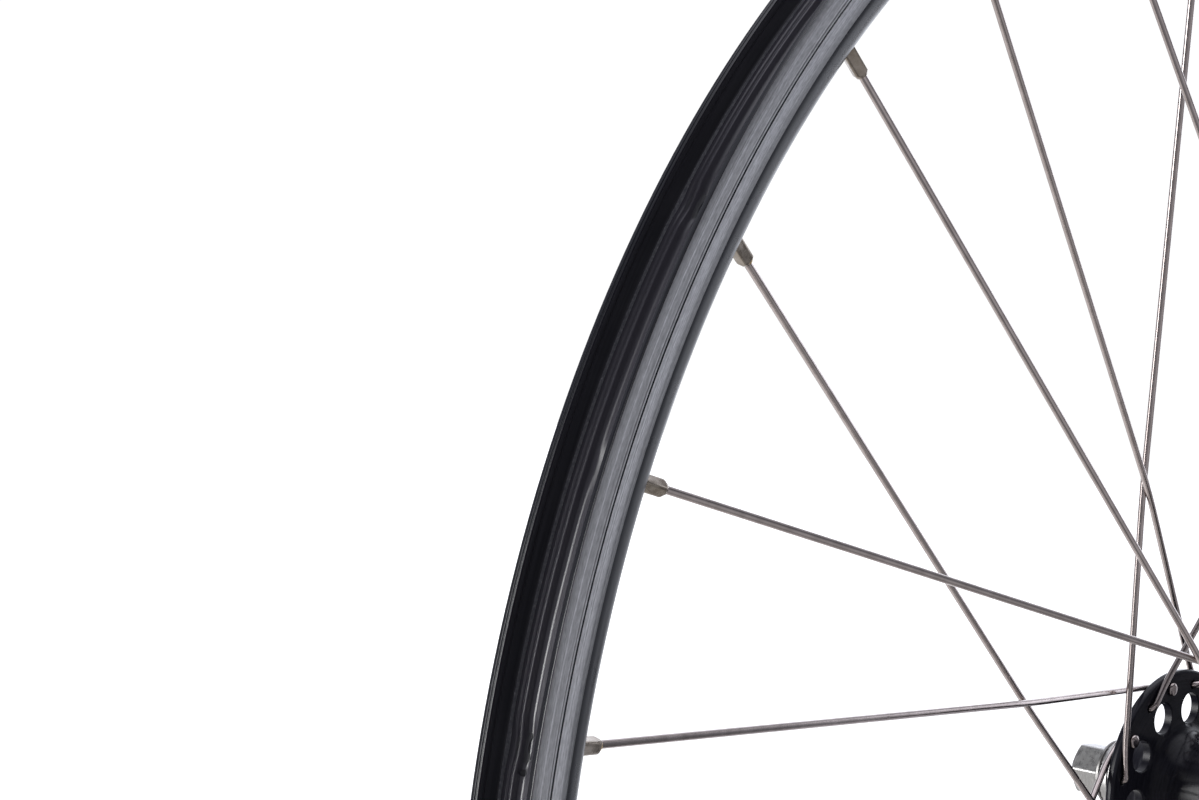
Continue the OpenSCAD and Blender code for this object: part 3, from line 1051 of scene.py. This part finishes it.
CEILING = [(0.7, 0.0), (0.85, 1.0), (1.0, 1.0)]
FILL_AXIS = (-0.62, -0.75, -0.2)
FILL = [(0.6, 0.0), (0.82, 0.22), (1.0, 0.28)]
FLOOR_SIZE = 60.0  # metres
FLOOR_GLOW = 0.72
STRIP_AXIS = (-0.87, 0.49, 0.0)
STRIP_ACROSS = (0.49, 0.87, 0.0)
STRIP = [(0.6, 0.0), (0.85, 0.1), (0.94, 0.35), (1.0, 1.0)]
STRIP_WIDTH = [(-0.16, 0.0), (-0.1, 1.0), (0.1, 1.0), (0.16, 0.0)]


def build_camera():
    data = bpy.data.cameras.new("camera")
    data.lens = CAMERA_LENS
    data.sensor_width = 36
    data.clip_start = 0.01
    data.dof.use_dof = False
    camera = bpy.data.objects.new("camera", data)
    camera.location = CAMERA_AT
    camera.rotation_euler = Euler([math.radians(a) for a in CAMERA_TURN])
    bpy.context.scene.collection.objects.link(camera)
    bpy.context.scene.camera = camera


def build_world():
    """Plain white to the camera. To the wheel it is a dark room with a bright backdrop and a few soft lights."""
    world = bpy.data.worlds.new("studio")
    bpy.context.scene.world = world
    world.use_nodes = True
    nodes, links = world.node_tree.nodes, world.node_tree.links
    nodes.clear()
    where = nodes.new("ShaderNodeTexCoord")

    def along(axis):
        facing = nodes.new("ShaderNodeVectorMath")
        facing.operation = "DOT_PRODUCT"
        facing.inputs[1].default_value = Vector(axis).normalized()
        links.new(where.outputs["Generated"], facing.inputs[0])
        return facing.outputs["Value"]

    def ramp(value, stops):
        """Grey levels at values from -1 to 1."""
        spread = nodes.new("ShaderNodeMapRange")
        spread.inputs["From Min"].default_value = -1
        links.new(value, spread.inputs["Value"])
        n = nodes.new("ShaderNodeValToRGB")
        while len(n.color_ramp.elements) < len(stops):
            n.color_ramp.elements.new(0.5)
        for element, (at, shade) in zip(n.color_ramp.elements, stops):
            element.position = (at + 1) / 2
            element.color = (shade, shade, shade, 1)
        links.new(spread.outputs[0], n.inputs[0])
        return n.outputs[0]

    def light(value, tint, strength):
        n = nodes.new("ShaderNodeBackground")
        n.inputs["Strength"].default_value = strength
        n.inputs["Color"].default_value = (*tint, 1)
        if value is not None:
            mix = nodes.new("ShaderNodeMix")
            mix.data_type = "RGBA"
            mix.blend_type = "MULTIPLY"
            mix.inputs[0].default_value = 1
            links.new(value, mix.inputs[6])
            mix.inputs[7].default_value = (*tint, 1)
            links.new(mix.outputs[2], n.inputs["Color"])
        return n.outputs[0]

    def total(first, *others):
        for other in others:
            n = nodes.new("ShaderNodeAddShader")
            links.new(first, n.inputs[0])
            links.new(other, n.inputs[1])
            first = n.outputs[0]
        return first

    def product(a, b):
        mix = nodes.new("ShaderNodeMix")
        mix.data_type = "RGBA"
        mix.blend_type = "MULTIPLY"
        mix.inputs[0].default_value = 1
        links.new(a, mix.inputs[6])
        links.new(b, mix.inputs[7])
        return mix.outputs[2]

    def patch(axis, stops):
        return ramp(along(axis), stops)

    room = light(product(patch(ROOM_AXIS, ROOM), patch(UP, ROOM_HEIGHT)), (0.95, 0.98, 1.07), 2.0)
    strip = light(product(patch(STRIP_ACROSS, STRIP_WIDTH), patch(STRIP_AXIS, STRIP)), (1.0, 1.0, 1.0), 13.0)
    top = light(patch(TOP_AXIS, TOP), (0.95, 0.98, 1.06), 1.0)
    table = light(patch(TABLE_AXIS, TABLE), (1.0, 0.99, 0.98), 1.0)
    front = light(patch(FRONT_AXIS, FRONT), (0.98, 0.98, 1.0), 1.0)
    ceiling = light(patch(CEILING_AXIS, CEILING), (0.97, 0.97, 1.05), 1.2)
    fill = light(patch(FILL_AXIS, FILL), (0.97, 0.97, 1.03), 1.0)
    seen = light(None, (1, 1, 1), 1.05)
    path = nodes.new("ShaderNodeLightPath")
    mix = nodes.new("ShaderNodeMixShader")
    links.new(path.outputs["Is Camera Ray"], mix.inputs[0])
    links.new(total(room, top, strip, table, front, ceiling, fill), mix.inputs[1])
    links.new(seen, mix.inputs[2])
    out = nodes.new("ShaderNodeOutputWorld")
    links.new(mix.outputs[0], out.inputs["Surface"])


def build_floor():
    """A wide white floor under the wheel, seen by the camera alone and only from above. TABLE is its light."""
    half = FLOOR_SIZE / 2
    mesh = bpy.data.meshes.new("floor")
    corners = ((-half, -half), (half, -half), (half, half), (-half, half))
    mesh.from_pydata([(x, y, -RIM_R * MM) for x, y in corners], [], [(0, 1, 2, 3)])
    floor = bpy.data.objects.new("floor", mesh)
    bpy.context.scene.collection.objects.link(floor)
    for kind in ("visible_diffuse", "visible_glossy", "visible_transmission", "visible_shadow"):
        setattr(floor, kind, False)
    mat = bpy.data.materials.new("floor")
    mat.use_nodes = True
    shader = mat.node_tree.nodes["Principled BSDF"]
    shader.inputs["Base Color"].default_value = (0.8, 0.8, 0.8, 1)
    shader.inputs["Roughness"].default_value = 1
    shader.inputs["Specular IOR Level"].default_value = 0
    shader.inputs["Emission Color"].default_value = (1, 1, 1, 1)
    shader.inputs["Emission Strength"].default_value = FLOOR_GLOW
    nodes, links = mat.node_tree.nodes, mat.node_tree.links
    side = nodes.new("ShaderNodeNewGeometry")
    clear = nodes.new("ShaderNodeBsdfTransparent")
    mix = nodes.new("ShaderNodeMixShader")
    links.new(side.outputs["Backfacing"], mix.inputs[0])
    links.new(shader.outputs[0], mix.inputs[1])
    links.new(clear.outputs[0], mix.inputs[2])
    links.new(mix.outputs[0], nodes["Material Output"].inputs["Surface"])
    mesh.materials.append(mat)


build_camera()
build_world()
build_floor()
build_rim()
build_tape()
build_spokes()
build_nipples()
build_hub()
build_axle()
for side_name in SIDES:
    build_nut(side_name)
    build_washer(side_name)
    build_locknut(side_name)
dress_cad_nodes()
bpy.context.scene.view_settings.view_transform = "Standard"
